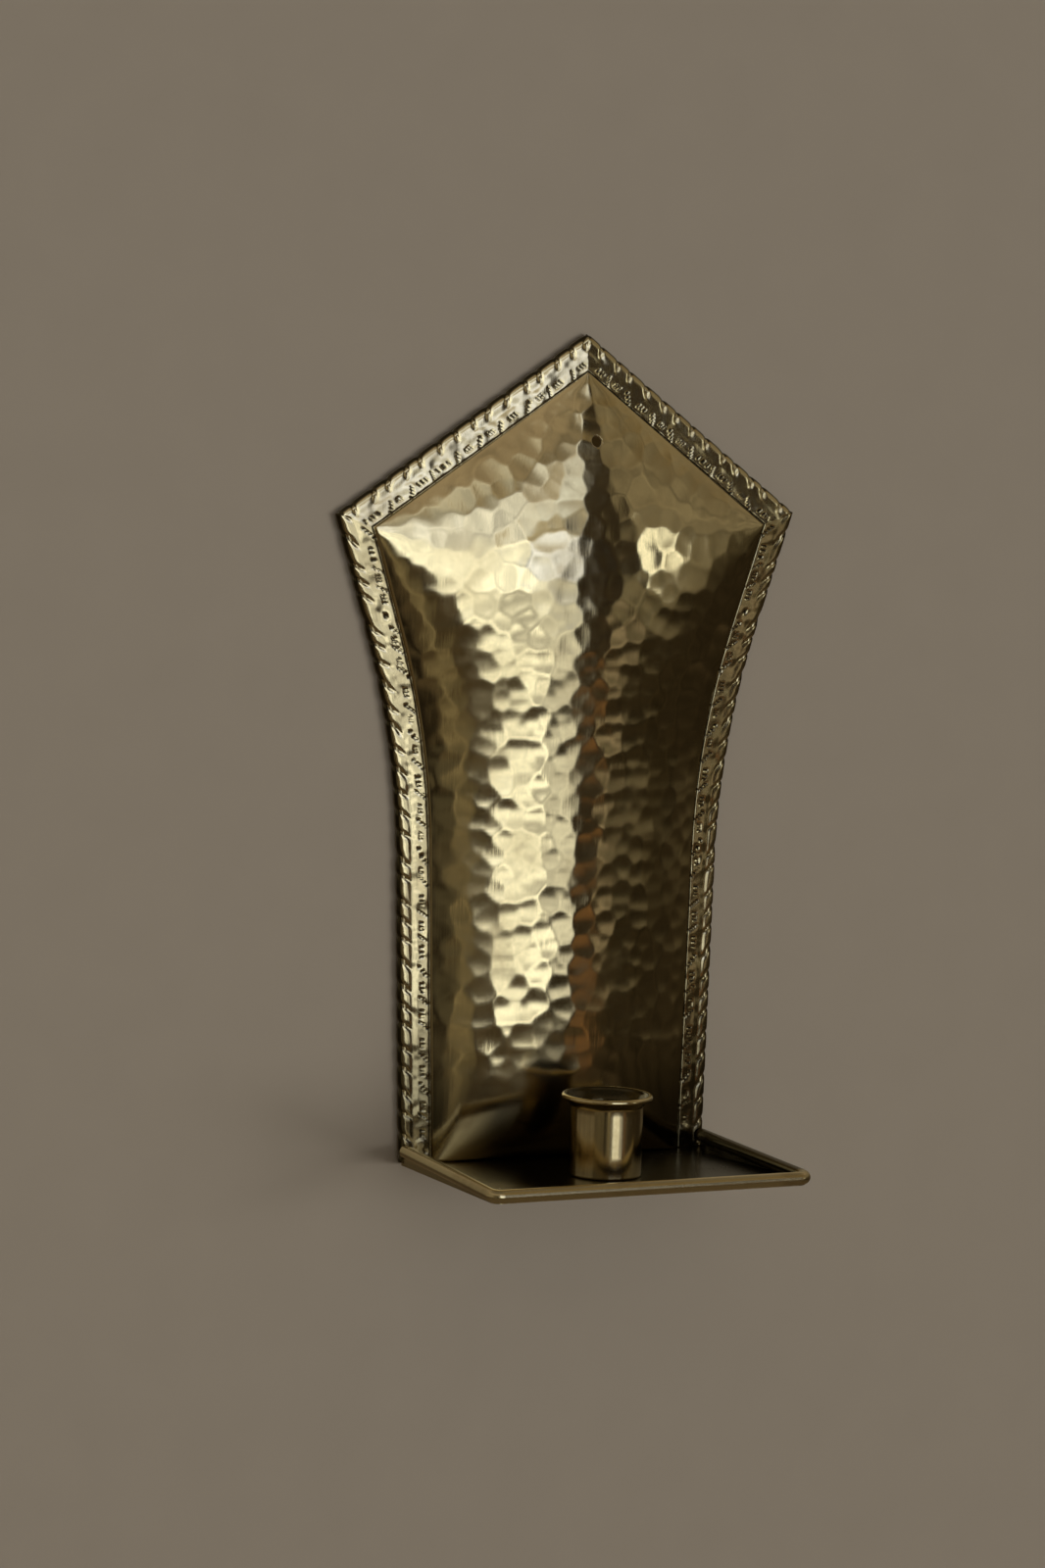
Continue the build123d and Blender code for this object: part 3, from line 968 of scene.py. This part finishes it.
def make_panel(settings, material):
    """Raised panel: a planished sheet with the hanging hole near its peak."""
    front, worked = panel_front(settings)
    rows, columns = front.shape[:2]
    piece = make_object("backplate_panel", front.reshape(-1, 3), grid_faces(rows, columns))
    set_attribute(piece, "worked", worked)
    clean_mesh(piece)
    face_room(piece)
    values = {"Face": settings.blow, "Depth": settings.blow_depth, "Material": material}
    run_tree(piece, hammer_tree(), values)
    thick = piece.modifiers.new("sheet", "SOLIDIFY")
    thick.thickness = settings.sheet
    thick.offset = -1
    apply_modifiers(piece)
    cut_hole(piece, HOLE_RADIUS, settings)
    return piece


def face_room(piece):
    """Turn an open sheet so that it faces the room."""
    normal = sum((face.normal * face.area for face in piece.data.polygons), Vector())
    if normal.y > 0:
        piece.data.flip_normals()


def lathe(name, profile, centre, segments):
    """Return a closed ring-shaped piece turned from a closed profile of radius and height."""
    verts = []
    for i in range(segments):
        a = 2 * math.pi * i / segments
        for radius, z in profile:
            verts.append((centre[0] + radius * math.cos(a), centre[1] + radius * math.sin(a), z))
    count = len(profile)
    faces = []
    for i in range(segments):
        k = (i + 1) % segments
        for j in range(count - 1):
            faces.append((i * count + j, k * count + j, k * count + j + 1, i * count + j + 1))
    piece = make_object(name, verts, faces)
    clean_mesh(piece)
    return piece


def arc_points(centre, radius, start, end, count):
    """Return points on an arc, by angle in degrees."""
    angles = np.radians(np.linspace(start, end, count))
    return [(centre[0] + radius * math.cos(a), centre[1] + radius * math.sin(a)) for a in angles]


def make_cup(settings, material):
    """Cup turned from its section: straight wall, flared lip and a small rolled bead."""
    base = CUP_LOW[2]
    top = CUP_HIGH[2]
    rim = (CUP_HIGH[0] - CUP_LOW[0]) / 2
    bead = (rim - settings.bead, top - settings.bead)
    flare = top - settings.flare
    floor = base + CUP_FLOOR
    edge = base + CUP_EDGE
    profile = [(CUP_HOLE, base), (settings.outer - CUP_EDGE, base), (settings.outer, edge)]
    for share in np.linspace(0.02, 1, 14):
        profile.append((settings.outer, edge + (flare - edge) * share))
    for share in np.linspace(0.1, 0.9, 9):
        spread = share ** 1.8
        profile.append((settings.outer + (bead[0] - LIP_TUCK - settings.outer) * spread,
                        flare + (bead[1] - settings.bead * 0.6 - flare) * share))
    profile += arc_points(bead, settings.bead, -100, 170, 19)
    for share in np.linspace(0.9, 0.1, 9):
        spread = share ** 1.6
        profile.append((settings.inner + (bead[0] - settings.bead - settings.inner) * spread,
                        flare + (bead[1] - flare) * share))
    corner = floor + CUP_CORNER
    for share in np.linspace(1, 0.02, 10):
        profile.append((settings.inner, corner + (flare - corner) * share))
    profile += [(settings.inner - CUP_CORNER, floor), (CUP_HOLE, floor), (CUP_HOLE, base)]
    piece = lathe("candle_cup_turned", profile, (AXIS_X, CUP_Y), 128)
    inside = []
    for vertex in piece.data.vertices:
        radius = math.hypot(vertex.co.x - AXIS_X, vertex.co.y - CUP_Y)
        limit = settings.inner + LIP_TUCK + max(vertex.co.z - flare, 0) * FLARE_SPREAD
        inside.append(1.0 if radius < limit and vertex.co.z > base + CUP_CORNER else 0.0)
    set_attribute(piece, "inside", inside)
    piece.data.materials.append(material)
    piece.data.shade_smooth()
    return piece


# --------------------------------------------------------------------------- stage


def one_sided_material(name, colour):
    """Return a matt wall finish that shows only on its front."""
    material = bpy.data.materials.new(name)
    material.use_nodes = True
    wiring = Wiring(material.node_tree)
    wiring.tree.nodes.clear()
    output = wiring.node("ShaderNodeOutputMaterial")
    paint = wiring.node("ShaderNodeBsdfDiffuse")
    clear = wiring.node("ShaderNodeBsdfTransparent")
    mix = wiring.node("ShaderNodeMixShader")
    back = wiring.node("ShaderNodeNewGeometry").outputs["Backfacing"]
    speck = wiring.node("ShaderNodeTexNoise")
    speck.inputs["Scale"].default_value = 260.0
    dark, light = ((*[c * share for c in colour], 1) for share in (0.97, 1.03))
    wiring.join(wiring.mix(speck.outputs[0], dark, light), paint.inputs["Color"])
    wiring.join(back, mix.inputs[0])
    wiring.join(paint.outputs[0], mix.inputs[1])
    wiring.join(clear.outputs[0], mix.inputs[2])
    wiring.join(mix.outputs[0], output.inputs["Surface"])
    return material


def make_plane(name, corners, material):
    """Return a flat stage piece."""
    piece = make_object(name, corners, [(0, 1, 2, 3)])
    piece.data.materials.append(material)
    piece.visible_glossy = False
    piece.visible_shadow = False
    return piece


def make_world():
    """Soft surroundings by direction: turn is degrees to the right, rise is degrees up."""
    world = bpy.data.worlds.new("room")
    bpy.context.scene.world = world
    world.use_nodes = True
    wiring = Wiring(world.node_tree)
    wiring.tree.nodes.clear()
    output = wiring.node("ShaderNodeOutputWorld")
    sky = wiring.node("ShaderNodeBackground")
    direction = wiring.node("ShaderNodeTexCoord").outputs["Generated"]
    x, y, z = wiring.split(direction)
    degrees = 180 / math.pi
    ahead = wiring.math("MULTIPLY", y, -1.0)
    turn = wiring.math("MULTIPLY", wiring.math("ARCTAN2", x, ahead), degrees)
    rise = wiring.math("MULTIPLY", wiring.math("ARCSINE", z), degrees)
    ramp = wiring.node("ShaderNodeValToRGB")
    wiring.join(wiring.math("MULTIPLY_ADD", rise, 1 / 180, 0.5), ramp.inputs[0])
    while len(ramp.color_ramp.elements) < len(ROOM):
        ramp.color_ramp.elements.new(0.5)
    for element, (level, colour) in zip(ramp.color_ramp.elements, ROOM):
        element.position = 0.5 + level / 180
        element.color = (*colour, 1)
    light = ramp.outputs[0]
    for patch_turn, patch_rise, half_turn, half_rise, soft, colour in PATCHES:
        wide = wiring.near(turn, patch_turn, half_turn, soft)
        tall = wiring.near(rise, patch_rise, half_rise, soft)
        light = wiring.mix(wiring.math("MULTIPLY", wide, tall), light, (*colour, 1))
    clouds = wiring.noise(direction, *CLOUD_NOISE).outputs[0]
    uneven = wiring.node("ShaderNodeVectorMath", operation="SCALE")
    wiring.join(light, uneven.inputs[0])
    gain = wiring.math("MULTIPLY_ADD", clouds, CLOUD_GAIN, CLOUD_BASE)
    wiring.join(gain, uneven.inputs["Scale"])
    seen = wiring.node("ShaderNodeLightPath").outputs["Is Camera Ray"]
    wiring.join(wiring.mix(seen, uneven.outputs[0], SEEN_LIGHT), sky.inputs[0])
    wiring.join(sky.outputs[0], output.inputs["Surface"])


def add_wall_light(turn, rise, spread, strength):
    """Add a soft lamp for the wall alone, turn degrees to the right and rise degrees up."""
    data = bpy.data.lights.new("side_lamp", "SUN")
    data.energy = strength
    data.angle = math.radians(spread)
    lamp = bpy.data.objects.new("side_lamp", data)
    bpy.context.collection.objects.link(lamp)
    turn, rise = math.radians(turn), math.radians(rise)
    toward = Vector((math.sin(turn) * math.cos(rise), -math.cos(turn) * math.cos(rise), math.sin(rise)))
    lamp.rotation_mode = "QUATERNION"
    lamp.rotation_quaternion = toward.to_track_quat("Z", "Y")
    lamp.visible_glossy = False
    lamp.visible_camera = False


def make_camera(settings):
    """Camera to the left of the sconce and a little above it."""
    data = bpy.data.cameras.new("view")
    data.lens = settings.lens
    data.sensor_width = 36.0
    data.clip_end = 50
    camera = bpy.data.objects.new("view", data)
    bpy.context.collection.objects.link(camera)
    turn, tilt, roll = settings.turn, settings.tilt, settings.roll
    ahead = Vector((math.sin(turn) * math.cos(tilt), math.cos(turn) * math.cos(tilt), -math.sin(tilt)))
    level = Vector((math.cos(turn), -math.sin(turn), 0))
    upright = level.cross(ahead)
    right = level * math.cos(roll) + upright * math.sin(roll)
    up = upright * math.cos(roll) - level * math.sin(roll)
    spot = Vector(np.add((AXIS_X, WALL_Y, BASE_Z), VIEW_SPOT))
    rows = Matrix((right, up, -ahead)).transposed().to_4x4()
    camera.matrix_world = Matrix.Translation(spot) @ rows
    bpy.context.scene.camera = camera


# --------------------------------------------------------------------------- operators


class SCONCE_OT_backplate(bpy.types.Operator):
    """Build the backplate: punched border with its rolled edge, and the hammered panel."""

    bl_idname = "sconce.backplate"
    bl_label = "Backplate"

    def execute(self, context):
        settings = context.scene.sconce_plate
        finish = context.scene.sconce_finish
        marks_and_shade = border_dirt_and_shade(settings.punch, settings.facet)
        edge = brass_material("border_brass", finish, dullness=0.35, rough=0.12, marks_and_shade=marks_and_shade)
        # The panel's foot gets painted shade by the tray.
        face = brass_material("panel_brass", finish, dullness=0.35, rough=0.09, marks_and_shade=painted_foot_shade)
        border = make_border(settings, edge)
        panel = make_panel(settings, face)
        finish_piece(border, "plate_brass", "backplate")
        finish_piece(panel, "plate_brass", "backplate")
        return {"FINISHED"}


class SCONCE_OT_cup(bpy.types.Operator):
    """Turn the candle cup with its flared lip."""

    bl_idname = "sconce.cup"
    bl_label = "Candle cup"

    def execute(self, context):
        finish = context.scene.sconce_finish
        # The inside of the cup gets painted shade.
        brass = brass_material("cup_brass", finish, dullness=0.6, rough=0.10, marks_and_shade=cup_painted_shade)
        cup = make_cup(context.scene.sconce_cup, brass)
        finish_piece(cup, "cup_brass", "candle_cup")
        return {"FINISHED"}


class SCONCE_OT_carried(bpy.types.Operator):
    """Finish the pieces that keep their modelled shape: tray, wires and rivets."""

    bl_idname = "sconce.carried"
    bl_label = "Tray, wires and rivets"

    def execute(self, context):
        finish = context.scene.sconce_finish
        # The tray's marks are painted shade, lighter at the left front as a painted reflection.
        tray = brass_material("tray_brass", finish, dullness=0.8, rough=0.20, marks_and_shade=tray_painted_shade, shade=0.95)
        drawn = brass_material("wire_brass", finish, dullness=0.6, rough=0.25)
        for name in ("tray", "tray_rim_wire", "backplate_edge_wire", "cup_rivet", "cup_rivet_burr",
                     "tray_rivets"):
            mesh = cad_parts[name].data
            mesh.materials.clear()
            mesh.materials.append(tray if name == "tray" else drawn)
        return {"FINISHED"}


class SCONCE_OT_stage(bpy.types.Operator):
    """Set the floor, the wall, the lights and the camera."""

    bl_idname = "sconce.stage"
    bl_label = "Stage"

    def execute(self, context):
        settings = context.scene.sconce_stage
        wall = one_sided_material("wall_paint", settings.wall)
        floor = one_sided_material("floor_paint", settings.floor)
        far = STAGE_REACH
        y = WALL_Y + WALL_GAP
        make_plane("wall", [(-far, y, -far), (far, y, -far), (far, y, far), (-far, y, far)], wall)
        z = BASE_Z - FLOOR_DROP
        make_plane("floor", [(-far, -far, z), (far, -far, z), (far, far, z), (-far, far, z)], floor)
        make_world()
        add_wall_light(*WALL_LAMP)
        make_camera(settings)
        context.scene.view_settings.view_transform = "Standard"
        return {"FINISHED"}


class SCONCE_PT_panel(bpy.types.Panel):
    """Lists the steps that build the sconce."""

    bl_label = "Brass sconce"
    bl_idname = "SCONCE_PT_panel"
    bl_space_type = "VIEW_3D"
    bl_region_type = "UI"
    bl_category = "Sconce"

    def draw(self, context):
        for step in STEPS:
            self.layout.operator(step)


STEPS = ("sconce.backplate", "sconce.cup", "sconce.carried", "sconce.stage")
SETTINGS = {
    "sconce_plate": PlateSettings,
    "sconce_cup": CupSettings,
    "sconce_finish": FinishSettings,
    "sconce_stage": StageSettings,
}
CLASSES = (
    *SETTINGS.values(),
    SCONCE_OT_backplate,
    SCONCE_OT_cup,
    SCONCE_OT_carried,
    SCONCE_OT_stage,
    SCONCE_PT_panel,
)


def register():
    for cls in CLASSES:
        bpy.utils.register_class(cls)
    for name, cls in SETTINGS.items():
        setattr(bpy.types.Scene, name, PointerProperty(type=cls))


def unregister():
    for name in SETTINGS:
        delattr(bpy.types.Scene, name)
    for cls in reversed(CLASSES):
        bpy.utils.unregister_class(cls)


def main():
    register()
    bpy.ops.sconce.backplate()
    bpy.ops.sconce.cup()
    bpy.ops.sconce.carried()
    bpy.ops.sconce.stage()


if __name__ == "__main__":
    main()
